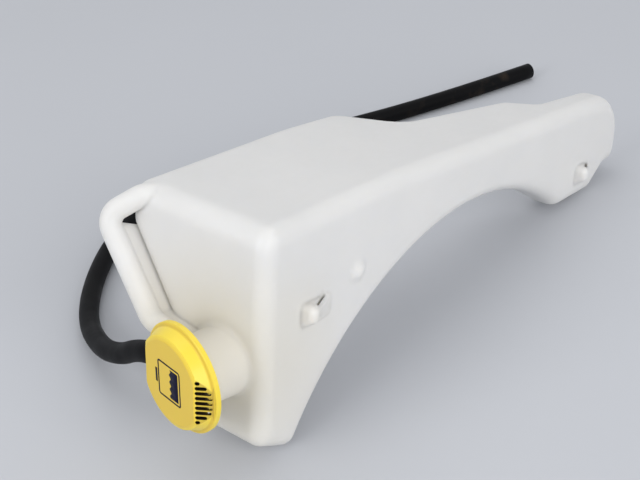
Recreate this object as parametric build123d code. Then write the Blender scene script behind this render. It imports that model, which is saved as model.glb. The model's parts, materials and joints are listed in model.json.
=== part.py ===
from build123d import *
import os
from math import asin, atan2, cos, degrees, pi, radians, sin, sqrt, tan

# Coolant expansion tank that fills the corner beside a round fan opening.
# Everything is drawn in the mould's own frame: X from the cap end to the tail, Y from the flat
# shroud face to the far wall, Z up. At the end the tank is laid down on its leg tip and tail foot.
# Millimetres and degrees.

# Body, side view
BODY_HEIGHT = 131.5
BODY_DEPTH = 106.0
TAIL_END = 413.0
TOP_BREAK = 130.0
TOP_FALL = 3.0
TOP_BREAK_R = 300.0
TAIL_TOP_R = 38.0
TAIL_UNDER = 60.5
TAIL_UNDER_R = 11.5
NOTCH_X = 396.0
NOTCH_R = 8.0
FOOT_Z = 45.0
FOOT_X = 376.0
FOOT_R = 12.0
ARCH_X = 206.0
ARCH_Z = -117.2
ARCH_R = 203.0
LEG_Z = -3.0
LEG_SLANT = 24.5
LEG_TIP_R = 8.0
END_TOP_R = 12.0
END_LOW_R = 11.0

# Body, plan of the far side
SHOULDER_X = 183.0
WING_X = 207.5
WING_Y = 65.6
STEP_X = 309.0
STEP_Y = 50.0
TAIL_X = 326.0
TAIL_Y = 31.0
TAIL_END_Y = 25.0
SHOULDER_R = 18.0
WING_R = 25.0
STEP_R = 12.0

# Body, section: the far wall leans in towards the leg
LEAN_Z = 106.0
LEAN = 32.3
LEG_DEPTH = 60.0
LEAN_R = 16.0

EDGE_R = 10.0
WALL = 2.5

# Filler neck, measured along its own axis from the end face
NECK_Y = 30.1
NECK_Z = 45.4
NECK_YAW = 9.9
NECK_DIP = 3.1
NECK_R = 20.5
NECK_ROOT_R = 3.5
NECK_ROOT_LAP = 0.4
NECK_LENGTH = 19.5
FINISH_R = 19.2
FINISH_LENGTH = 12.0
NECK_BORE_R = 16.0

# Side conduit from the top corner to the neck, with its web
TUBE_R = 6.5
TUBE_BORE_R = 4.0
TUBE_X = -12.2
TUBE_TOP_Y = 111.3
TUBE_TOP_Z = 111.8
TUBE_LOW_Y = 74.3
TUBE_LOW_Z = 58.6
TUBE_BEND_R = 10.0
WEB_T = 3.5
WEB_GAP = 4.0
WEB_SLOPE = 24.0
CONDUIT_END = (NECK_Y + NECK_BORE_R / 2, NECK_Z + NECK_BORE_R / 2)

# Hose nipple on the far side of the neck
NIPPLE_AT = 9.5
NIPPLE_LOW = 6.0
NIPPLE_DROP = 6.0
NIPPLE_R = 3.8
NIPPLE_BORE_R = 2.4
NIPPLE_LENGTH = 40.0

# Hook lugs and locating pip on the shroud face
LUG_REACH = 10.64
LUG_HEIGHT = 15.0
LUG_TIP = 7.5
LUG_ROOT = 8.0
LUG_SLIT = 1.8
LUG_SLIT_DEPTH = 8.0
LUG_EDGE_R = 3.5
MID_LUG_X = 30.0
MID_LUG_Z = 64.5
MID_LUG_LENGTH = 27.0
TAIL_LUG_X = 346.5
TAIL_LUG_Z = 58.0
TAIL_LUG_LENGTH = 22.0
PIP_X = 80.5
PIP_Z = 83.2
PIP_R = 9.5
PIP_HEIGHT = 3.2
PIP_SINK = 0.15

# Cap and seal
SEAL_T = 2.0
SEAL_R = 19.5
SEAL_BORE_R = 15.5
SEAL_GAP = 0.1
CAP_TOP_T = 2.8
CAP_FACE_R = 25.0
CAP_RIM_R = 27.6
CAP_BAND_R = 30.2
CAP_FLANGE_R = 32.6
CAP_FLANGE_T = 3.0
CAP_BAND_H = 6.0
CAP_BAND_T = 2.5
CAP_BEVEL = 1.0
CAP_SKIRT_R = 20.8
CAP_SKIRT_T = 2.4
CAP_SKIRT_LOW = 23.5
GRIP_CHORD = 22.5
GRIP_LEAN = 44.0
GRIP_ANGLE = -2.0
SLOTS = 9
SLOT_PITCH = 3.2
SLOT_WIDTH = 2.3
SLOT_DEPTH = 4.0
SLOT_EDGE = 0.7

# Hose: stretched over the nipple, then loose on the table behind the tank
HOSE_R = 6.75
HOSE_GRIP = 0.1
HOSE_BORE_R = NIPPLE_R - HOSE_GRIP
HOSE_START = 25.0
HOSE_STRAIGHT = 35.5
HOSE_LIE = HOSE_R + 0.1
HOSE_ROUTE = (
    (-194, 88, 27), (-152, 148, 8.5), (-88, 202, HOSE_LIE), (-10, 225, HOSE_LIE),
    (120, 180, HOSE_LIE), (228, 125.5, HOSE_LIE), (332, 89, HOSE_LIE))

REACH = 300.0


def round_corner(face, point, radius):
    """Round the corner of a flat outline that lies nearest to a point."""
    corner = face.vertices().sort_by_distance(Vector(*point))[0]
    return fillet(corner, radius)


def side_outline():
    """Outline seen from the shroud: top line, tail, foot, arch and leg."""
    drop = tan(radians(LEG_SLANT))
    top_tail = BODY_HEIGHT - (TAIL_END - TOP_BREAK) * tan(radians(TOP_FALL))
    face = make_face(Polyline(
        (0, LEG_Z), (0, BODY_HEIGHT), (TOP_BREAK, BODY_HEIGHT), (TAIL_END, top_tail),
        (TAIL_END, TAIL_UNDER), (NOTCH_X, TAIL_UNDER), (FOOT_X, FOOT_Z), (ARCH_X, FOOT_Z),
        (ARCH_X, LEG_Z - ARCH_X * drop), close=True))
    face = face - Pos(ARCH_X, ARCH_Z) * Circle(ARCH_R)
    heel_x = ARCH_X + sqrt(ARCH_R**2 - (FOOT_Z - ARCH_Z)**2)
    for point, radius in (
            ((0, BODY_HEIGHT), END_TOP_R), ((0, LEG_Z), END_LOW_R), ((TAIL_END, top_tail), TAIL_TOP_R),
            ((TAIL_END, TAIL_UNDER), TAIL_UNDER_R), ((NOTCH_X, TAIL_UNDER), NOTCH_R),
            ((FOOT_X, FOOT_Z), FOOT_R), ((heel_x, FOOT_Z), FOOT_R),
            ((TOP_BREAK, BODY_HEIGHT), TOP_BREAK_R),
            ((LEG_TIP_R * 4, LEG_Z - LEG_TIP_R * 4 * drop), LEG_TIP_R)):
        face = round_corner(face, point, radius)
    return face


def plan_outline():
    """Plan of the walls: flat front, far wall, shoulder, wing, step and tail."""
    far = FilletPolyline(
        (-REACH, BODY_DEPTH), (SHOULDER_X, BODY_DEPTH), (WING_X, WING_Y), (STEP_X, STEP_Y),
        (TAIL_X, TAIL_Y), (2 * TAIL_END - TAIL_X, 2 * TAIL_END_Y - TAIL_Y),
        radius=[SHOULDER_R, WING_R, STEP_R, STEP_R])
    rest = Polyline(far @ 1, ((far @ 1).X, 0), (-REACH, 0), far @ 0)
    return make_face(far + rest)


def section_outline():
    """Section across the main chamber: the far wall leans in below LEAN_Z and ends upright in the leg."""
    knee_z = LEAN_Z - (BODY_DEPTH - LEG_DEPTH) / tan(radians(LEAN))
    lean = FilletPolyline((BODY_DEPTH, LEAN_Z), (LEG_DEPTH, knee_z), (LEG_DEPTH, -REACH), radius=LEAN_R)
    rest = Polyline(lean @ 1, (-REACH, -REACH), (-REACH, REACH), (BODY_DEPTH, REACH), lean @ 0)
    return make_face(lean + rest)


def sharp_edges(solid):
    """Edges whose two faces do not run smoothly into each other."""
    found = []
    for edge in solid.edges():
        middle = edge @ 0.5
        normals = [f.normal_at(middle) for f in solid.faces() if any(edge.is_same(e) for e in f.edges())]
        if len(normals) == 2 and normals[0].get_angle(normals[1]) > 4:
            found.append(edge)
    return found


def form(inset):
    """The bottle's form, all walls moved in by inset, edges rounded to match."""
    side = extrude(Plane.XZ.offset(REACH) * offset(side_outline(), -inset), -3 * REACH)
    plan = extrude(Pos(0, 0, -REACH) * offset(plan_outline(), -inset), 3 * REACH)
    section = extrude(Plane.YZ.offset(-REACH) * offset(section_outline(), -inset), 4 * REACH)
    block = (side & plan & section).solid()
    return fillet(sharp_edges(block), EDGE_R - inset).solid()


def neck_plane():
    """Plane on the end face, Z along the neck, X to the near side and Y up."""
    yaw, dip = radians(NECK_YAW), radians(NECK_DIP)
    axis = (-cos(yaw) * cos(dip), sin(yaw) * cos(dip), -sin(dip))
    return Plane(origin=(0, NECK_Y, NECK_Z), x_dir=(0, -1, 0), z_dir=axis)


def turned(points):
    """Solid of revolution about Z from radius and height pairs."""
    return revolve(Plane.XZ * make_face(Polyline(*points, close=True)), Axis.Z)


def pipe(path, radius):
    """Round bar along a path."""
    return sweep(Plane(origin=path @ 0, z_dir=path % 0) * Circle(radius), path)


def conduit_path():
    """Centre line of the side conduit, from inside the top corner to the neck's bore."""
    top = BODY_HEIGHT - TUBE_R
    return FilletPolyline(
        (EDGE_R + TUBE_R, BODY_DEPTH - 2 * EDGE_R, top), (2, BODY_DEPTH - EDGE_R, top),
        (TUBE_X, TUBE_TOP_Y, TUBE_TOP_Z), (TUBE_X, TUBE_LOW_Y, TUBE_LOW_Z),
        (TUBE_X, *CONDUIT_END), radius=TUBE_BEND_R)


def web_sheet(start, end, gap, rise):
    """Flat sheet from one straight run of the conduit to the end face."""
    run = Vector(0, end[0] - start[0], end[1] - start[1])
    across = Vector(1, 0, 0)
    plane = Plane(origin=(TUBE_X, *start), x_dir=across, z_dir=across.cross(run))
    inside = EDGE_R - TUBE_X
    sheet = make_face(Polyline(
        (0, gap), (inside, gap + inside * rise), (inside, run.length), (0, run.length), close=True))
    return extrude(plane * sheet, WEB_T / 2, both=True)


def web():
    """Web that ties the conduit to the end face along both runs, with an open gap under the top bend."""
    top, low = (TUBE_TOP_Y, TUBE_TOP_Z), (TUBE_LOW_Y, TUBE_LOW_Z)
    return web_sheet(top, low, WEB_GAP, tan(radians(WEB_SLOPE))) + web_sheet(low, CONDUIT_END, -WEB_T / 2, 0)


def nipple_plane():
    """Plane across the neck's axis, Z out of the far side of the neck along the hose nipple."""
    base = neck_plane()
    root = base.from_local_coords((0, -NIPPLE_LOW, NIPPLE_AT))
    drop = radians(NIPPLE_DROP)
    return Plane(origin=root, x_dir=(1, 0, 0), z_dir=(0, cos(drop), -sin(drop)))


def lug(x, z, length):
    """Hook lug on the shroud face: proud at one end, run out at the other, ramp below, slit on top."""
    slope = LUG_REACH / length
    ramp = (LUG_HEIGHT - LUG_TIP) / LUG_REACH
    far = (LUG_REACH + LUG_ROOT / 2) / slope
    plan = make_face(Polyline(
        (x, LUG_ROOT), (x, -LUG_REACH), (x + far, LUG_ROOT / 2), (x + far, LUG_ROOT), close=True))
    side = make_face(Polyline(
        (LUG_ROOT, z - LUG_ROOT * ramp), (-LUG_REACH, z + LUG_HEIGHT - LUG_TIP),
        (-LUG_REACH, z + LUG_HEIGHT), (LUG_ROOT, z + LUG_HEIGHT), close=True))
    block = extrude(Pos(0, 0, z - REACH / 2) * plan, REACH) & extrude(Plane.YZ.offset(x) * side, far)
    block = fillet(block.edges().filter_by(lambda e: (e @ 0.5).Y < LUG_ROOT - 0.1), LUG_EDGE_R)
    slit = Box(length / 2, LUG_SLIT, LUG_SLIT_DEPTH, align=(Align.CENTER, Align.CENTER, Align.MAX))
    turn = Rot(0, 0, degrees(atan2(LUG_REACH, length)))
    return block - Pos(x + length / 2, -LUG_REACH / 4, z + LUG_HEIGHT) * turn * slit


def neck_root():
    """Flared root of the leaning neck: a quarter arc turned about the end face's normal."""
    high = NECK_R - NECK_ROOT_LAP
    foot = high + NECK_ROOT_R
    half = radians(45)
    middle = (foot - NECK_ROOT_R * sin(half), NECK_ROOT_R * (1 - cos(half)))
    arc = ThreePointArc((foot, 0), middle, (high, NECK_ROOT_R))
    under = Polyline(
        (high, NECK_ROOT_R), (0, NECK_ROOT_R), (0, -EDGE_R), (foot + EDGE_R / 2, -EDGE_R / 2), (foot, 0))
    flare = revolve(Plane.XZ * make_face(arc + under), Axis.Z)
    shift = NECK_ROOT_R * tan(radians(NECK_YAW))
    return Plane(origin=(0, NECK_Y + shift, NECK_Z), x_dir=(0, -1, 0), z_dir=(-1, 0, 0)) * flare


def neck_tube():
    """Neck with its narrower threaded finish, and the bore through it into the bottle."""
    finish = NECK_LENGTH + FINISH_LENGTH
    outside = turned((
        (0, -EDGE_R), (NECK_R, -EDGE_R), (NECK_R, NECK_LENGTH - 1), (NECK_R - 1, NECK_LENGTH),
        (FINISH_R, NECK_LENGTH), (FINISH_R, finish - 0.8), (FINISH_R - 0.8, finish), (0, finish)))
    bore = Cylinder(NECK_BORE_R, 3 * EDGE_R + finish + 1, align=(Align.CENTER, Align.CENTER, Align.MIN))
    return outside, Pos(0, 0, -3 * EDGE_R) * bore


def pip():
    """Low locating dome on the shroud face: a round top that runs out into the wall in a hollow curve."""
    height = PIP_HEIGHT + PIP_SINK
    bend = (PIP_R**2 + height**2) / (4 * height)
    half = asin(PIP_R / 2 / bend) / 2
    along, fall = bend * sin(half), bend * (1 - cos(half))
    middle = (PIP_R / 2, height / 2)
    top = ThreePointArc((0, height), (along, height - fall), middle)
    foot = ThreePointArc(middle, (PIP_R - along, fall), (PIP_R, 0))
    under = Polyline((PIP_R, 0), (PIP_R, -WALL), (0, -WALL), (0, height))
    dome = revolve(Plane.XZ * make_face(top + foot + under), Axis.Z)
    return Plane(origin=(PIP_X, PIP_SINK, PIP_Z), x_dir=(1, 0, 0), z_dir=(0, -1, 0)) * dome


def tank_body():
    """The blow-moulded bottle with all that is moulded in one with it."""
    neck = neck_plane()
    outside, bore = neck_tube()
    nipple = nipple_plane()
    spout = Cylinder(NIPPLE_R, NIPPLE_LENGTH, align=(Align.CENTER, Align.CENTER, Align.MIN))
    drill = Cylinder(NIPPLE_BORE_R, NIPPLE_LENGTH + 1, align=(Align.CENTER, Align.CENTER, Align.MIN))
    path = conduit_path()
    solid = form(0) + neck_root() + neck * outside + pipe(path, TUBE_R) + web() + nipple * spout
    solid += lug(MID_LUG_X, MID_LUG_Z, MID_LUG_LENGTH) + lug(TAIL_LUG_X, TAIL_LUG_Z, TAIL_LUG_LENGTH)
    solid += pip()
    return solid - form(WALL) - neck * bore - pipe(path, TUBE_BORE_R) - nipple * drill


def grip_run(across):
    """Length of a leaning grip flat from the face down to the band's cone, at a distance across it."""
    lean = radians(GRIP_LEAN)
    taper = (CAP_BAND_R - CAP_RIM_R) / CAP_BAND_H
    start = CAP_RIM_R - taper * CAP_BEVEL
    a = sin(lean)**2 - (taper * cos(lean))**2
    b = GRIP_CHORD * sin(lean) - start * taper * cos(lean)
    c = GRIP_CHORD**2 + across**2 - start**2
    return (sqrt(max(b**2 - a * c, 0)) - b) / a


def grip(top, flange):
    """What one grip takes off the cap: a leaning flat above the flange and a row of slots in it."""
    lean = radians(GRIP_LEAN)
    flat = Plane(origin=(GRIP_CHORD, 0, top), x_dir=(0, 1, 0), z_dir=(cos(lean), 0, sin(lean)))
    reach = (top - flange) / cos(lean)
    chip = flat * Pos(0, 0, CAP_FLANGE_R / 2) * Box(2 * CAP_FLANGE_R, 4 * reach, CAP_FLANGE_R)
    above = Pos(0, 0, flange) * Cylinder(
        2 * CAP_FLANGE_R, 2 * top, align=(Align.CENTER, Align.CENTER, Align.MIN))
    cut = chip & above
    for i in range(SLOTS):
        across = (i - (SLOTS - 1) / 2) * SLOT_PITCH
        length = min(grip_run(across), reach) - 2 * SLOT_EDGE
        if length > 1.1 * SLOT_WIDTH:
            slot = Pos(across, -SLOT_EDGE - length / 2) * SlotOverall(length, SLOT_WIDTH, rotation=90)
            cut += extrude(flat * slot, SLOT_DEPTH, both=True)
    return cut


def cap():
    """Screw cap drawn on the neck's plane: face, band, flange, threaded skirt and two slotted grips."""
    seat = NECK_LENGTH + FINISH_LENGTH + SEAL_T + 2 * SEAL_GAP
    top = seat + CAP_TOP_T
    rim = top - CAP_BEVEL
    band = rim - CAP_BAND_H
    flange = band - 1
    low = flange - CAP_FLANGE_T
    skirt = CAP_SKIRT_R + CAP_SKIRT_T
    hollow = CAP_BAND_R - CAP_BAND_T
    solid = turned((
        (0, seat), (0, top), (CAP_FACE_R, top), (CAP_RIM_R, rim), (CAP_BAND_R, band),
        (CAP_BAND_R + 0.5, flange + 0.4), (CAP_FLANGE_R - 0.4, flange), (CAP_FLANGE_R, flange - 0.4),
        (CAP_FLANGE_R, low), (hollow, low), (hollow, band), (skirt, band), (skirt, CAP_SKIRT_LOW),
        (CAP_SKIRT_R, CAP_SKIRT_LOW), (CAP_SKIRT_R, seat)))
    for side in (0, 180):
        solid -= Rot(0, 0, GRIP_ANGLE + side) * grip(top, flange)
    return solid


def seal():
    """Flat rubber ring between the neck's lip and the cap."""
    lip = NECK_LENGTH + FINISH_LENGTH + SEAL_GAP
    return turned(((SEAL_BORE_R, lip), (SEAL_R, lip), (SEAL_R, lip + SEAL_T), (SEAL_BORE_R, lip + SEAL_T)))


def rest_tilt():
    """Slope of the table in the mould's frame: the line under the leg tip and the tail foot."""
    slant = radians(LEG_SLANT)
    up = (sin(slant), cos(slant))
    along = (cos(slant), -sin(slant))
    from_arch = (up[0] * LEG_TIP_R - ARCH_X, LEG_Z + up[1] * LEG_TIP_R - ARCH_Z)
    half = from_arch[0] * along[0] + from_arch[1] * along[1]
    gap = from_arch[0]**2 + from_arch[1]**2 - (ARCH_R + LEG_TIP_R)**2
    run = -half - sqrt(half**2 - gap)
    tip = (up[0] * LEG_TIP_R + along[0] * run, LEG_Z + up[1] * LEG_TIP_R + along[1] * run)
    rise = atan2(TAIL_UNDER - FOOT_Z, NOTCH_X - FOOT_X)
    foot = (FOOT_X - FOOT_R * tan(rise / 2), FOOT_Z + FOOT_R)
    span = sqrt((foot[0] - tip[0])**2 + (foot[1] - tip[1])**2)
    return degrees(atan2(foot[1] - tip[1], foot[0] - tip[0]) - asin((FOOT_R - LEG_TIP_R) / span))


def hose_path(exit_plane):
    """Centre line of the hose in the table's frame: straight runs joined by tangent arcs."""
    points = [exit_plane.from_local_coords((0, 0, HOSE_START))]
    points.append(exit_plane.from_local_coords((0, 0, HOSE_START + HOSE_STRAIGHT)))
    points += [Vector(*p) for p in HOSE_ROUTE]
    runs = [b - a for a, b in zip(points, points[1:])]
    radii = []
    for before, after in zip(runs, runs[1:]):
        turn = radians(before.get_angle(after))
        radii.append(0.45 * min(before.length, after.length) / tan(turn / 2))
    print("hose bend radii", [round(r) for r in radii])
    return FilletPolyline(*points, radius=radii)


tilt = rest_tilt()
neck = neck_plane()
lie = Rot(0, tilt, 0)
pieces = {
    "tank_body": lie * tank_body(),
    "filler_cap": lie * (neck * cap()),
    "cap_seal": lie * (neck * seal()),
}
box = Compound(list(pieces.values())).bounding_box()
place = Pos(-box.center().X, -box.center().Y, -box.min.Z)
pieces = {name: place * piece for name, piece in pieces.items()}
path = hose_path(Plane((place * lie) * nipple_plane().location))
pieces["overflow_hose"] = pipe(path, HOSE_R) - pipe(path, HOSE_BORE_R)
hose_volume = pi * (HOSE_R**2 - HOSE_BORE_R**2) * path.length
print("hose length", round(path.length, 1), "share", round(pieces["overflow_hose"].volume / hose_volume, 4))

os.makedirs("parts", exist_ok=True)
for name, piece in pieces.items():
    print(name, piece.is_valid, len(piece.solids()), round(piece.volume), piece.bounding_box())
    export_step(piece, "parts/" + name + ".step")
cap_frame = Plane((place * lie) * neck.location)
print("tilt", tilt, "moved", place.position)
print("neck at", cap_frame.origin, "axis", cap_frame.z_dir)
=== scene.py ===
# %% [markdown]
# # A coolant expansion tank
# The tank is a blow-moulded plastic bottle that fills the corner beside a car's radiator fan. A screw
# cap closes its slanted neck, and a rubber hose leads from the neck to the radiator. The CAD solids
# already have every size, so this lesson adds what they leave out: the materials, the soft line of the
# hose, the screw threads under the cap and the small printed sign on its face.

# %% Load the frame
import json

import bpy
import numpy as np
from mathutils import Matrix


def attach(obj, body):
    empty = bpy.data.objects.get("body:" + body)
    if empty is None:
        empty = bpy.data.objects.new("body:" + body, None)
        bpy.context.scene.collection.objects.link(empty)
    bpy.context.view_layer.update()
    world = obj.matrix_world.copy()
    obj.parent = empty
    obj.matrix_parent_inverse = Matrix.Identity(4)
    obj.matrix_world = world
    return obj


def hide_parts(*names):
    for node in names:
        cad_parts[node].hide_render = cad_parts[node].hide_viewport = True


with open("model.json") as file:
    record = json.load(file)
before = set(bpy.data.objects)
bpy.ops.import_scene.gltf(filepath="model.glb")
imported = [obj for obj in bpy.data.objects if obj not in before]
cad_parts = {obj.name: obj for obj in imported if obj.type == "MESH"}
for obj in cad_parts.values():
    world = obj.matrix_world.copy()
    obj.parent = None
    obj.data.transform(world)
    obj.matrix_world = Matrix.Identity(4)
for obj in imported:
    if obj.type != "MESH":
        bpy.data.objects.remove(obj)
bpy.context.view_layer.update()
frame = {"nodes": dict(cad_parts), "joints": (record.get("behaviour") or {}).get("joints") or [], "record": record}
nodes = frame["nodes"]
scene = bpy.context.scene
joints = {joint["name"]: joint for joint in frame["joints"]}
MM = 0.001

# %% [markdown]
# The cap turns about the neck, and the neck leans, so nothing on the cap lies along the world's axes.
# It is easier to think in the neck's own axes: out along the neck, towards the viewer's side, and up.
# The joint in the frame gives the first one, and two cross products give the others.

# %% The neck's own axes
neck_base = np.array(joints["cap_turn"]["pos_m"])
out = np.array(joints["cap_turn"]["axis"])
out /= np.linalg.norm(out)
near = np.cross(np.cross(out, (0.0, -1.0, 0.0)), out)
near /= np.linalg.norm(near)
up = np.cross(out, near)


def on_neck(a, b, c):
    """Row-frame points from millimetres in the neck's axes: base + a near + b up + c out."""
    a, b, c = np.broadcast_arrays(a, b, c)
    return neck_base + MM * (a[..., None] * near + b[..., None] * up + c[..., None] * out)


def along_neck(node):
    """Height out along the neck and distance from its axis, in millimetres, of a node's vertices."""
    flat = np.empty(len(node.data.vertices) * 3)
    node.data.vertices.foreach_get("co", flat)
    off = (flat.reshape(-1, 3) - neck_base) / MM
    height = off @ out
    return height, np.linalg.norm(off - height[:, None] * out, axis=1)


cap_height, cap_radius = along_neck(nodes["filler_cap"])
CAP_TOP = cap_height.max()
print("cap face", round(CAP_TOP, 2), "mm out, flange radius", round(cap_radius.max(), 2), "mm")

# %% [markdown]
# Every new piece here is a grid of points: one parameter runs along the piece and the other across or
# around it. One function turns such a grid into a mesh, so each piece below is only its formula.

# %% Grid to mesh
def grid_piece(name, points, body, ring_rows=False, ring_columns=False):
    """Mesh with a square face between each four neighbours of a (rows, columns, 3) grid of points."""
    rows, columns = points.shape[:2]
    r, c = np.meshgrid(
        np.arange(rows - (not ring_rows)), np.arange(columns - (not ring_columns)), indexing="ij")
    r_next, c_next = (r + 1) % rows, (c + 1) % columns
    corners = (r * columns + c, r_next * columns + c, r_next * columns + c_next, r * columns + c_next)
    mesh = bpy.data.meshes.new(name)
    mesh.from_pydata(points.reshape(-1, 3).tolist(), [], np.stack(corners, -1).reshape(-1, 4).tolist())
    mesh.validate()
    mesh.shade_smooth()
    piece = bpy.data.objects.new(name, mesh)
    scene.collection.objects.link(piece)
    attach(piece, body)
    print(name, len(mesh.polygons), "faces")
    return piece


# %% [markdown]
# Materials are node trees. One function adds a node, sets its values and links its inputs. Colours are
# written as sRGB hex, as a paint program shows them, and a second function turns them to linear light.

# %% Nodes and colours
def linear(hex_colour):
    """Linear RGBA of an sRGB hex colour such as #D8D8D4."""
    s = np.array([int(hex_colour[i:i + 2], 16) / 255 for i in (1, 3, 5)])
    return (*np.where(s <= 0.04045, s / 12.92, ((s + 0.055) / 1.055) ** 2.4), 1.0)


def add(tree, kind, inputs, **settings):
    """Adds a shader node; each input, by name or number, is given a value or a socket to link."""
    made = tree.nodes.new("ShaderNode" + kind)
    for name, value in settings.items():
        setattr(made, name, value)
    for key, value in inputs.items():
        if isinstance(value, bpy.types.NodeSocket):
            tree.links.new(value, made.inputs[key])
        else:
            made.inputs[key].default_value = value
    return made


def material(name, ior):
    """A new material with its tree, its shader and the object coordinates that its patterns read."""
    made = bpy.data.materials.new(name)
    made.use_nodes = True
    shader = made.node_tree.nodes["Principled BSDF"]
    shader.inputs["IOR"].default_value = ior
    return made, made.node_tree, shader, add(made.node_tree, "TexCoord", {}).outputs["Object"]


def coat_node(name, finish):
    """Gives a CAD node one material in place of the plain one that it came with."""
    nodes[name].data.materials.clear()
    nodes[name].data.materials.append(finish)


# %% [markdown]
# The bottle is natural polyethylene with no pigment but a little white. It was blown against a
# sand-blasted mould, so the skin has a fine matt grain and slow waves where it shrank. Blown plastic
# never fills a mould's corners sharply, so a Bevel node melts the shading of every edge over a few
# millimetres, and light goes a few millimetres into the wall. The wall is a little uneven, so the white
# is cloudy, and round the neck, where the plastic is thickest, it is warmer.

# %% Natural polyethylene
polyethylene, tree, shader, coords = material("natural_polyethylene", 1.54)
CLOUD_MM, GRAIN_MM, WAVE_MM, SCUFF_MM, MELT_MM, GLOW_MM = 55, 1.1, 24, 9, 5, 6
GRAIN_DEEP_MM, WAVE_DEEP_MM = 0.1, 0.8
WARM_MM, COOL_MM = 25, 80
SCUFF_SQUEEZE = (1.0, 2.5, 6.0)
clouds = add(tree, "TexNoise", {"Vector": coords, "Scale": 1 / (CLOUD_MM * MM), "Detail": 3.0}).outputs[0]
white = add(
    tree, "Mix", {0: clouds, 6: linear("#D8D7D5"), 7: linear("#E2E0DD")}, data_type="RGBA").outputs[2]
to_neck = add(tree, "VectorMath", {0: coords, 1: tuple(neck_base)}, operation="DISTANCE").outputs[1]
warm = add(tree, "MapRange", {0: to_neck, 1: WARM_MM * MM, 2: COOL_MM * MM, 3: 0.55, 4: 0.0}).outputs[0]
tone = add(tree, "Mix", {0: warm, 6: white, 7: linear("#D5CEBC")}, data_type="RGBA").outputs[2]
tree.links.new(tone, shader.inputs["Base Color"])
stretch = add(tree, "Mapping", {"Vector": coords, "Scale": SCUFF_SQUEEZE}).outputs[0]
scuffs = add(tree, "TexNoise", {"Vector": stretch, "Scale": 1 / (SCUFF_MM * MM), "Detail": 4.0}).outputs[0]
matt = add(tree, "MapRange", {0: scuffs, 1: 0.3, 2: 0.75, 3: 0.42, 4: 0.56}).outputs[0]
tree.links.new(matt, shader.inputs["Roughness"])
grain = add(tree, "TexNoise", {"Vector": coords, "Scale": 1 / (GRAIN_MM * MM), "Detail": 2.0}).outputs[0]
waves = add(tree, "TexNoise", {"Vector": coords, "Scale": 1 / (WAVE_MM * MM), "Detail": 1.0}).outputs[0]
melted = add(tree, "Bevel", {"Radius": MELT_MM * MM}, samples=8).outputs[0]
wavy = {"Height": waves, "Strength": 0.25, "Distance": WAVE_DEEP_MM * MM, "Normal": melted}
slow = add(tree, "Bump", wavy).outputs[0]
grainy = {"Height": grain, "Strength": 0.12, "Distance": GRAIN_DEEP_MM * MM, "Normal": slow}
skin = add(tree, "Bump", grainy).outputs[0]
tree.links.new(skin, shader.inputs["Normal"])
shader.inputs["Specular IOR Level"].default_value = 0.35
shader.inputs["Subsurface Weight"].default_value = 0.6
shader.inputs["Subsurface Radius"].default_value = (1.0, 0.95, 0.85)
shader.inputs["Subsurface Scale"].default_value = GLOW_MM * MM
coat_node("tank_body", polyethylene)
print("tank skin: clouds", CLOUD_MM, "mm, grain", GRAIN_MM, "mm")

# %% [markdown]
# The cap is yellow polypropylene from a polished mould, so it is smoother than the bottle. Engine-bay
# dust lies as a film on its face and on the ribs of its grips. Painted shade darkens the corner above its
# flange, and the deep grip slots are painted nearly black as shade. All these are places, not pieces, so the
# material finds them by height and radius on the neck's axes. The numbers below give, in millimetres,
# where each of them starts and ends.

# %% Yellow polypropylene
FLANGE_DROP, RIM_DROP = 8.0, 1.0
CAP_FLANGE_OUT, CAP_RIM_OUT = CAP_TOP - FLANGE_DROP, CAP_TOP - RIM_DROP
CAP_RIM_R, CAP_TAPER = 27.6, 2.6 / 6.0
GRIP_CHORD, GRIP_LEAN, GRIP_TURN = 22.5, np.radians(44.0), np.radians(-2.0)
grip_way = np.cos(GRIP_TURN) * near + np.sin(GRIP_TURN) * up
polypropylene, tree, shader, coords = material("yellow_polypropylene", 1.49)
SHADE_MM, CAP_GRAIN_MM, CAP_GRAIN_DEEP_MM, CAP_GLOW_MM = 16, 0.9, 0.08, 1.5
SLOT_FROM, SLOT_TO = 0.05, 0.3
WALL_FROM, WALL_TO = 0.2, 0.5
UNDER_RIM, OVER_FLANGE = 0.05, 0.1
CORNER_SHADE_AT, CORNER_SHADE_FULL, CORNER_SHADE_END = 0.4, 0.1, 0.9
GRIME_FULL, GRIME_END = 0.05, 0.3
off = add(tree, "VectorMath", {0: coords, 1: tuple(neck_base)}, operation="SUBTRACT").outputs[0]
height = add(tree, "VectorMath", {0: off, 1: tuple(out)}, operation="DOT_PRODUCT").outputs[1]
side = add(tree, "VectorMath", {0: off, 1: tuple(grip_way)}, operation="DOT_PRODUCT").outputs[1]
axial = add(tree, "VectorMath", {0: tuple(out), 3: height}, operation="SCALE").outputs[0]
radial = add(tree, "VectorMath", {0: off, 1: axial}, operation="SUBTRACT").outputs[0]
radius = add(tree, "VectorMath", {0: radial}, operation="LENGTH").outputs[1]
reach = add(tree, "Math", {0: side}, operation="ABSOLUTE").outputs[0]
leaned = add(tree, "Math", {0: height, 1: np.sin(GRIP_LEAN)}, operation="MULTIPLY").outputs[0]
above = add(tree, "Math", {0: reach, 1: np.cos(GRIP_LEAN), 2: leaned}, operation="MULTIPLY_ADD").outputs[0]
flat_at = MM * (GRIP_CHORD * np.cos(GRIP_LEAN) + CAP_TOP * np.sin(GRIP_LEAN))
# Mask of the slots sunk below the grip flat, where painted shade goes.
under_flat = {0: above, 1: flat_at - SLOT_TO * MM, 2: flat_at - SLOT_FROM * MM, 3: 1.0, 4: 0.0}
sunk = add(tree, "MapRange", under_flat).outputs[0]
cone = add(tree, "Math", {0: height, 1: CAP_TAPER, 2: radius}, operation="MULTIPLY_ADD").outputs[0]
cone_at = MM * (CAP_RIM_R + CAP_TAPER * CAP_RIM_OUT)
under_side = {0: cone, 1: cone_at - WALL_TO * MM, 2: cone_at - WALL_FROM * MM, 3: 1.0, 4: 0.0}
inside = add(tree, "MapRange", under_side).outputs[0]
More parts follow.
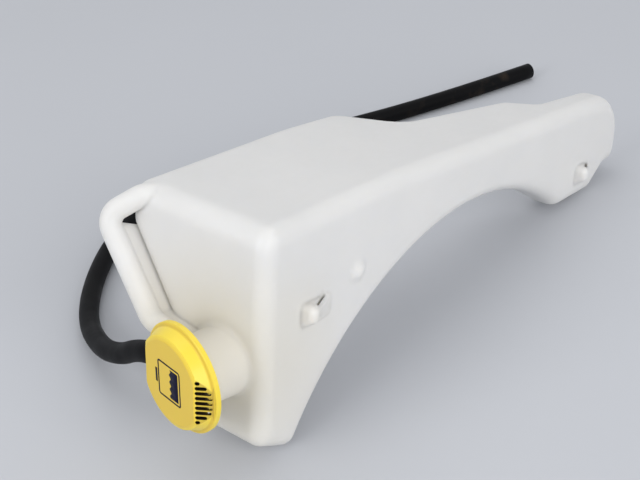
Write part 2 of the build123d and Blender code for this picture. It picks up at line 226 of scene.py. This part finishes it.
band_top, band_foot = (CAP_RIM_OUT - UNDER_RIM) * MM, (CAP_FLANGE_OUT + OVER_FLANGE) * MM
below_rim = add(tree, "Math", {0: height, 1: band_top}, operation="LESS_THAN").outputs[0]
over_flange = add(tree, "Math", {0: height, 1: band_foot}, operation="GREATER_THAN").outputs[0]
in_slot = add(tree, "Math", {0: sunk, 1: inside}, operation="MULTIPLY").outputs[0]
in_band = add(tree, "Math", {0: below_rim, 1: over_flange}, operation="MULTIPLY").outputs[0]
painted_slot_shade = add(tree, "Math", {0: in_slot, 1: in_band}, operation="MULTIPLY").outputs[0]
shade = add(tree, "TexNoise", {"Vector": coords, "Scale": 1 / (SHADE_MM * MM), "Detail": 2.0}).outputs[0]
yellow = add(
    tree, "Mix", {0: shade, 6: linear("#ECD03E"), 7: linear("#F2DA4C")}, data_type="RGBA").outputs[2]
film = add(
    tree, "MapRange", {0: height, 1: CAP_RIM_OUT * MM, 2: CAP_TOP * MM, 3: 0.0, 4: 0.45}).outputs[0]
filmed = add(tree, "Mix", {0: film, 6: yellow, 7: linear("#CFA33C")}, data_type="RGBA").outputs[2]
# Painted shade: a darker ochre band in the corner just above the flange, where shade falls.
corner_shade_at = (CAP_FLANGE_OUT + CORNER_SHADE_AT) * MM
step_gap = add(tree, "Math", {0: height, 1: corner_shade_at}, operation="SUBTRACT").outputs[0]
step_near = add(tree, "Math", {0: step_gap}, operation="ABSOLUTE").outputs[0]
corner_shade = add(
    tree, "MapRange", {0: step_near, 1: CORNER_SHADE_FULL * MM, 2: CORNER_SHADE_END * MM, 3: 0.5, 4: 0.0}).outputs[0]
film_and_corner_shade = add(tree, "Mix", {0: corner_shade, 6: filmed, 7: linear("#C09A34")}, data_type="RGBA").outputs[2]
flat_gap = add(tree, "Math", {0: above, 1: flat_at}, operation="SUBTRACT").outputs[0]
flat_near = add(tree, "Math", {0: flat_gap}, operation="ABSOLUTE").outputs[0]
grime = add(
    tree, "MapRange", {0: flat_near, 1: GRIME_FULL * MM, 2: GRIME_END * MM, 3: 0.45, 4: 0.0}).outputs[0]
grime_mask = add(tree, "Math", {0: grime, 1: in_band}, operation="MULTIPLY").outputs[0]
# Real grime on the grip ribs, mixed over a colour that already holds the painted corner shade.
grime_and_corner_shade = add(tree, "Mix", {0: grime_mask, 6: film_and_corner_shade, 7: linear("#8A6A2C")}, data_type="RGBA").outputs[2]
# Painted shade: the deep grip slots and their walls are painted nearly black, for the shade inside them.
coat = add(tree, "Mix", {0: painted_slot_shade, 6: grime_and_corner_shade, 7: linear("#231A14")}, data_type="RGBA").outputs[2]
tree.links.new(coat, shader.inputs["Base Color"])
rub = add(tree, "MapRange", {0: shade, 1: 0.3, 2: 0.7, 3: 0.3, 4: 0.42}).outputs[0]
tree.links.new(rub, shader.inputs["Roughness"])
peel = add(tree, "TexNoise", {"Vector": coords, "Scale": 1 / (CAP_GRAIN_MM * MM), "Detail": 1.0}).outputs[0]
peeled = add(
    tree, "Bump", {"Height": peel, "Strength": 0.08, "Distance": CAP_GRAIN_DEEP_MM * MM}).outputs[0]
tree.links.new(peeled, shader.inputs["Normal"])
shader.inputs["Subsurface Weight"].default_value = 0.1
shader.inputs["Subsurface Radius"].default_value = (1.0, 0.7, 0.2)
shader.inputs["Subsurface Scale"].default_value = CAP_GLOW_MM * MM
coat_node("filler_cap", polypropylene)
print("cap grip flats meet the face", GRIP_CHORD, "mm from the axis")

# %% [markdown]
# Hose and seal are black rubber with a dull skin and a fine grain. Rubber is never pure black: a bloom of
# wax lifts it to dark grey in soft patches. Towards its open end the hose has faint brown patches of dirt
# from the engine bay, so one function makes both rubbers and the hose asks it for a little dirt.

# %% Black rubber
PORE_MM, PORE_DEEP_MM = 0.8, 0.1
DIRT_MM, DIRT_FROM_MM, DIRT_TO_MM = 14, 140, 300


def rubber(name, dark, bloom, bloom_mm, rough, dirt=0.0):
    """Black rubber: two greys in soft patches, brown patches whose share grows along X, a fine grain."""
    made, tree, shader, coords = material(name, 1.52)
    patches = add(
        tree, "TexNoise", {"Vector": coords, "Scale": 1 / (bloom_mm * MM), "Detail": 4.0}).outputs[0]
    tint = add(tree, "Mix", {0: patches, 6: linear(dark), 7: linear(bloom)}, data_type="RGBA").outputs[2]
    if dirt:
        along = add(tree, "SeparateXYZ", {0: coords}).outputs[0]
        share = {0: along, 1: DIRT_FROM_MM * MM, 2: DIRT_TO_MM * MM, 3: 0.0, 4: dirt}
        most = add(tree, "MapRange", share).outputs[0]
        specks = add(
            tree, "TexNoise", {"Vector": coords, "Scale": 1 / (DIRT_MM * MM), "Detail": 4.0}).outputs[0]
        caught = add(tree, "MapRange", {0: specks, 1: 0.52, 2: 0.76, 3: 0.0, 4: most}).outputs[0]
        tint = add(tree, "Mix", {0: caught, 6: tint, 7: linear("#544638")}, data_type="RGBA").outputs[2]
    tree.links.new(tint, shader.inputs["Base Color"])
    dull = add(tree, "MapRange", {0: patches, 1: 0.3, 2: 0.7, 3: rough, 4: rough + 0.15}).outputs[0]
    tree.links.new(dull, shader.inputs["Roughness"])
    pores = add(tree, "TexNoise", {"Vector": coords, "Scale": 1 / (PORE_MM * MM), "Detail": 2.0}).outputs[0]
    bumps = add(tree, "Bump", {"Height": pores, "Strength": 0.15, "Distance": PORE_DEEP_MM * MM}).outputs[0]
    tree.links.new(bumps, shader.inputs["Normal"])
    shader.inputs["Specular IOR Level"].default_value = 0.1
    return made


hose_rubber = rubber("extruded_hose_rubber", "#040405", "#0B0B0D", 18, 0.42, dirt=0.3)
seal_rubber = rubber("moulded_seal_rubber", "#101010", "#1A1A1A", 6, 0.55)
coat_node("cap_seal", seal_rubber)
print("two rubbers")

# %% [markdown]
# The hose is pushed over the neck's nipple, droops past the conduit and lies on the table behind the
# tank. A NURBS line along the CAD route, with more points in the droop, gives its soft bends. A bevelled
# curve would close or hide its cut end, so the tube is a mesh: a ring carried along the line outside,
# round the cut end, back along the bore and round the other end. Rows and columns both close, like a
# stretched torus.

# %% Hose line
HOSE_R, HOSE_BORE_R, HOSE_LIP = 6.75, 3.7, 0.5
HOSE_LENGTH, HOSE_SIDES = 0.694, 40
HOSE_ROUTE = np.array((
    (-196.776, 3.765, 55.959), (-197.1, 21.6, 54.1), (-193.5, 42.8, 45.7), (-192, 62.5, 31.9),
    (-184.5, 91.6, 19), (-163.4, 131.6, 8.6), (-130, 165, 6.85), (-84, 194.5, 6.85), (-10, 222, 6.85),
    (120, 180, 6.85), (228, 125.5, 6.85), (332, 89, 6.85))) * MM
line = bpy.data.curves.new("hose_line", "CURVE")
line.dimensions = "3D"
line.resolution_u = 20
spline = line.splines.new("NURBS")
spline.points.add(len(HOSE_ROUTE) - 1)
spline.points.foreach_set("co", np.c_[HOSE_ROUTE, np.ones(len(HOSE_ROUTE))].ravel())
spline.order_u = 3
spline.use_endpoint_u = True
line_object = bpy.data.objects.new("hose_line", line)
scene.collection.objects.link(line_object)
bpy.context.view_layer.update()
line_mesh = bpy.data.meshes.new_from_object(line_object)
flat = np.empty(len(line_mesh.vertices) * 3)
line_mesh.vertices.foreach_get("co", flat)
hose_path = flat.reshape(-1, 3)
bpy.data.objects.remove(line_object)
bpy.data.meshes.remove(line_mesh)
step = np.linalg.norm(np.diff(hose_path, axis=0), axis=1)
print("hose line", len(hose_path), "points,", round(step.sum(), 4), "m")

# %% Hose tube
def tube(path, outer, bore, lip, sides):
    """Open hose along a path: outside from end to end, round the cut end, back through the bore."""
    tangent = np.gradient(path, axis=0)
    tangent /= np.linalg.norm(tangent, axis=1)[:, None]
    across = np.cross(tangent, (0.0, 0.0, 1.0))
    across /= np.linalg.norm(across, axis=1)[:, None]
    over = np.cross(across, tangent)
    last = len(path) - 1
    inner = np.arange(1, last)
    station = np.concatenate(([0, 0], inner, [last, last], [last, last], inner[::-1], [0, 0]))
    push = np.zeros(len(station))
    size = np.concatenate((
        [outer - lip, outer], np.full(len(inner), outer), [outer, outer - lip],
        [bore + lip, bore], np.full(len(inner), bore), [bore, bore + lip]))
    push[[1, len(inner) + 2]] = lip, -lip
    push[[len(inner) + 5, -2]] = -lip, lip
    angle = np.linspace(0, 2 * np.pi, sides, endpoint=False)
    ring = (np.cos(angle)[:, None] * across[station][:, None]
            + np.sin(angle)[:, None] * over[station][:, None])
    middle = path[station] + push[:, None] * tangent[station]
    return middle[:, None] + size[:, None, None] * ring


hose = grid_piece(
    "overflow_hose_tube", tube(hose_path, HOSE_R * MM, HOSE_BORE_R * MM, HOSE_LIP * MM, HOSE_SIDES),
    "tank", ring_rows=True, ring_columns=True)
hose.data.materials.append(hose_rubber)
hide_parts("overflow_hose")

# %% [markdown]
# Under the cap a coarse thread runs round the neck, and its partner runs inside the cap's skirt. They
# only show when the cap is unscrewed. Each is a ridge carried along a helix: the profile is a flat-topped
# bump, and its height falls to nothing at both ends, as a moulded thread's does. The pitch comes from the
# coupling of turn and lift in the frame, so the two ridges pass each other without touching.

# %% Threads
lift_per_radian = frame["record"]["behaviour"]["couplings"][0]["ratio"] / MM
THREAD_PITCH = 2 * np.pi * lift_per_radian
THREAD_FOOT, THREAD_CREST, THREAD_SINK = 2.4, 1.0, 0.25
THREAD_STEPS, RUN_OUT, SHARP = 72, 1 / 8, np.radians(35)


def thread(start, turns, radius, rise):
    """Helical ridge: out = start + pitch * angle / 2 pi, radius + rise * profile, run out at both ends."""
    angle = np.linspace(0, 2 * np.pi * turns, int(THREAD_STEPS * turns) + 1)[:, None]
    run = np.linspace(0, 1, len(angle))[:, None]
    full = np.clip(np.minimum(run, 1 - run) * turns / RUN_OUT, 0, 1)
    full = full * full * (3 - 2 * full)
    half = np.array((THREAD_FOOT, THREAD_FOOT, THREAD_CREST)) / 2
    place = np.concatenate((-half, half[::-1]))
    proud = np.array((-THREAD_SINK, 0.0, 1.0, 1.0, 0.0, -THREAD_SINK))
    size = radius + rise * np.where(proud < 0, proud, proud * full)
    height = start + THREAD_PITCH * angle / (2 * np.pi) + place
    return on_neck(size * np.cos(angle), size * np.sin(angle), height)


NECK_FINISH_R, NECK_TURNS, NECK_RISE = 19.2, 1.25, 1.0
SKIRT_BORE_R, SKIRT_TURNS, SKIRT_RISE = 20.8, 0.9, -0.9
NECK_THREAD_AT = 22.3
CAP_THREAD_AT = NECK_THREAD_AT + THREAD_PITCH / 2
neck_ridge = thread(NECK_THREAD_AT, NECK_TURNS, NECK_FINISH_R, NECK_RISE)
skirt_ridge = thread(CAP_THREAD_AT, SKIRT_TURNS, SKIRT_BORE_R, SKIRT_RISE)[:, ::-1]
neck_thread = grid_piece("neck_thread", neck_ridge, "tank", ring_columns=True)
cap_thread = grid_piece("cap_thread", skirt_ridge, "cap", ring_columns=True)
for ridge, finish in ((neck_thread, polyethylene), (cap_thread, polypropylene)):
    ridge.data.materials.append(finish)
    ridge.data.set_sharp_from_angle(angle=SHARP)

# %% [markdown]
# The cap's face carries a small dark print: a plain sign for a liquid level. Ink from a printing pad is
# about a twentieth of a millimetre thick, so each part of the sign is a flat grid just over the face, and
# a Solidify modifier gives it that thickness down to the plastic.

# %% Printed level sign
INK_T, INK_WORN_MM = 0.05, 2.5
SIGN_HALF_HIGH, SIGN_HALF_WIDE, SIGN_CORNER, SIGN_LINE = 10.5, 11.5, 2.0, 1.1
ink, tree, shader, coords = material("printing_ink", 1.5)
worn = add(tree, "TexNoise", {"Vector": coords, "Scale": 1 / (INK_WORN_MM * MM), "Detail": 3.0}).outputs[0]
tone = add(tree, "Mix", {0: worn, 6: linear("#0D0C22"), 7: linear("#1A1833")}, data_type="RGBA").outputs[2]
tree.links.new(tone, shader.inputs["Base Color"])
shader.inputs["Roughness"].default_value = 0.55
shader.inputs["Specular IOR Level"].default_value = 0.15


def printed(name, high, wide):
    """Flat ink on the cap's face; high runs towards the sign's top, wide along its level line."""
    piece = grid_piece(name, on_neck(-high, wide, CAP_TOP + INK_T), "cap")
    piece.data.materials.append(ink)
    solid = piece.modifiers.new("ink thickness", "SOLIDIFY")
    solid.thickness = INK_T * MM
    solid.offset = -1


across, depth = np.meshgrid(np.linspace(-1, 1, 97), np.linspace(0, 1, 3), indexing="ij")
LEVEL, WAVE_HIGH, WAVES = -1.0, 0.7, 4
inner = SIGN_HALF_WIDE - 2 * SIGN_LINE
level = LEVEL + WAVE_HIGH * np.sin(2 * np.pi * WAVES * (across + 1) / 2)
low = -SIGN_HALF_HIGH + 2 * SIGN_LINE
printed("sign_liquid", low + depth * (level - low), across * inner)
turn, rim = np.meshgrid(np.linspace(0, 2 * np.pi, 129), np.linspace(0, 1, 2), indexing="ij")
corner = SIGN_CORNER - rim * SIGN_LINE
frame_high = np.sign(np.round(np.sin(turn), 6)) * (SIGN_HALF_HIGH - SIGN_CORNER) + corner * np.sin(turn)
frame_wide = np.sign(np.round(np.cos(turn), 6)) * (SIGN_HALF_WIDE - SIGN_CORNER) + corner * np.cos(turn)
printed("sign_frame", frame_high, frame_wide)
STUB_FOOT, STUB_TOP, STUB_HALF = SIGN_HALF_HIGH + 0.7, SIGN_HALF_HIGH + 2.4, 4.5
stub_high, stub_wide = np.meshgrid((STUB_FOOT, STUB_TOP), (-STUB_HALF, STUB_HALF), indexing="ij")
printed("sign_filler", stub_high, stub_wide)

# %% [markdown]
# The floor is a plain pale sheet under the object, a little darker than the white bottle so that it
# stands out. Far from the lamps the sheet would turn dark and show a horizon. So what the eye sees of it
# there fades into one pale tone, which the world shows too, while its light on the object stays as it was.

# %% Floor
FLOOR_HALF, FADE_FROM, FADE_TO, MOTTLE_MM = 6.0, 0.5, 2.2, 400
BACKDROP = linear("#CFD1D5")


def seen_directly(tree):
    """One for what the camera sees, also in a mirror or through glass, and nought for light that bounces."""
    way = add(tree, "LightPath", {}).outputs
    mirrored = add(
        tree, "Math", {0: way["Is Camera Ray"], 1: way["Is Glossy Ray"]}, use_clamp=True).outputs[0]
    return add(tree, "Math", {0: mirrored, 1: way["Is Transmission Ray"]}, use_clamp=True).outputs[0]


floor_corners = FLOOR_HALF * np.array(((-1, -1, 0), (1, -1, 0), (1, 1, 0), (-1, 1, 0)))
floor_mesh = bpy.data.meshes.new("floor")
floor_mesh.from_pydata(floor_corners.tolist(), [], [(0, 1, 2, 3)])
floor = bpy.data.objects.new("floor", floor_mesh)
scene.collection.objects.link(floor)
paper, tree, shader, coords = material("pale_paper", 1.45)
mottle = add(tree, "TexNoise", {"Vector": coords, "Scale": 1 / (MOTTLE_MM * MM)}).outputs[0]
pale = add(
    tree, "Mix", {0: mottle, 6: linear("#BFC1C6"), 7: linear("#C3C5CA")}, data_type="RGBA").outputs[2]
tree.links.new(pale, shader.inputs["Base Color"])
shader.inputs["Roughness"].default_value = 0.8
distance = add(tree, "VectorMath", {0: coords}, operation="LENGTH").outputs[1]
fade = add(
    tree, "MapRange", {0: distance, 1: FADE_FROM, 2: FADE_TO}, interpolation_type="SMOOTHSTEP").outputs[0]
faded = add(tree, "Math", {0: fade, 1: seen_directly(tree)}, operation="MULTIPLY").outputs[0]
far_tone = add(tree, "Emission", {"Color": BACKDROP}).outputs[0]
sheet = add(tree, "MixShader", {0: faded, 1: shader.outputs[0], 2: far_tone}).outputs[0]
tree.links.new(sheet, tree.nodes["Material Output"].inputs["Surface"])
floor_mesh.materials.append(paper)

# %% [markdown]
# The light is soft, as in a white tent. The world gives most of it, and three large panels in front,
# above and to the left lift the faces that would turn grey. Their strength is kept so that a surface
# shows about the colour that its material was given.

# %% Light
AMBIENT = 0.72
TANK_MIDDLE = np.array((0.0, 0.0, 0.07))
PANELS = {
    "key panel": ((-0.65, -1.9, 0.9), 1.6, 24.5),
    "top panel": ((0.3, 0.5, 1.7), 1.4, 5.0),
    "left panel": ((-1.6, 0.3, 0.9), 1.0, 9.5),
}


def stand(name, data, place, toward, roll=0.0):
    """Lamp or camera at a place in metres that looks along a direction, rolled in radians."""
    ahead = np.array(toward) / np.linalg.norm(toward)
    right = np.cross(ahead, (0.0, 0.0, 1.0))
    right /= np.linalg.norm(right)
    high = np.cross(right, ahead)
    across, upright = np.cos(roll) * right + np.sin(roll) * high, np.cos(roll) * high - np.sin(roll) * right
    turned = Matrix(np.column_stack((across, upright, -ahead)).tolist()).to_4x4()
    holder = bpy.data.objects.new(name, data)
    scene.collection.objects.link(holder)
    holder.matrix_world = Matrix.Translation(place) @ turned
    return holder


for name, (place, size, power) in PANELS.items():
    lamp = bpy.data.lights.new(name, "AREA")
    lamp.size = size
    lamp.energy = power
    stand(name, lamp, place, TANK_MIDDLE - place)
world = bpy.data.worlds.new("studio")
scene.world = world
world.use_nodes = True
tree = world.node_tree
ambient = tree.nodes["Background"]
ambient.inputs["Color"].default_value = linear("#EDEFF2")
ambient.inputs["Strength"].default_value = AMBIENT
backdrop = add(tree, "Background", {"Color": BACKDROP}).outputs[0]
sky = add(tree, "MixShader", {0: seen_directly(tree), 1: ambient.outputs[0], 2: backdrop}).outputs[0]
tree.links.new(sky, tree.nodes["World Output"].inputs["Surface"])
scene.view_settings.view_transform = "Standard"
print(len(PANELS), "panels")

# %% [markdown]
# The camera stands where the photograph was taken. Its focal length is known in pixels of a 640 pixel
# wide image, and a sensor 36 mm wide turns that into a lens. It was held about four degrees askew.

# %% Camera
IMAGE_WIDE, FOCAL_PX, SENSOR = 640, 1200, 36.0
CAMERA_AT = np.array((-544.8, -418.7, 480.7)) * MM
HEADING, LOOK_DOWN, ROLL = np.radians((48.48, 32.82, -4.12))
looking = (np.sin(HEADING) * np.cos(LOOK_DOWN), np.cos(HEADING) * np.cos(LOOK_DOWN), -np.sin(LOOK_DOWN))
camera = stand("camera", bpy.data.cameras.new("camera"), CAMERA_AT, looking, ROLL)
camera.data.sensor_width = SENSOR
camera.data.lens = FOCAL_PX * SENSOR / IMAGE_WIDE
bpy.context.scene.camera = camera
print("lens", camera.data.lens, "mm")
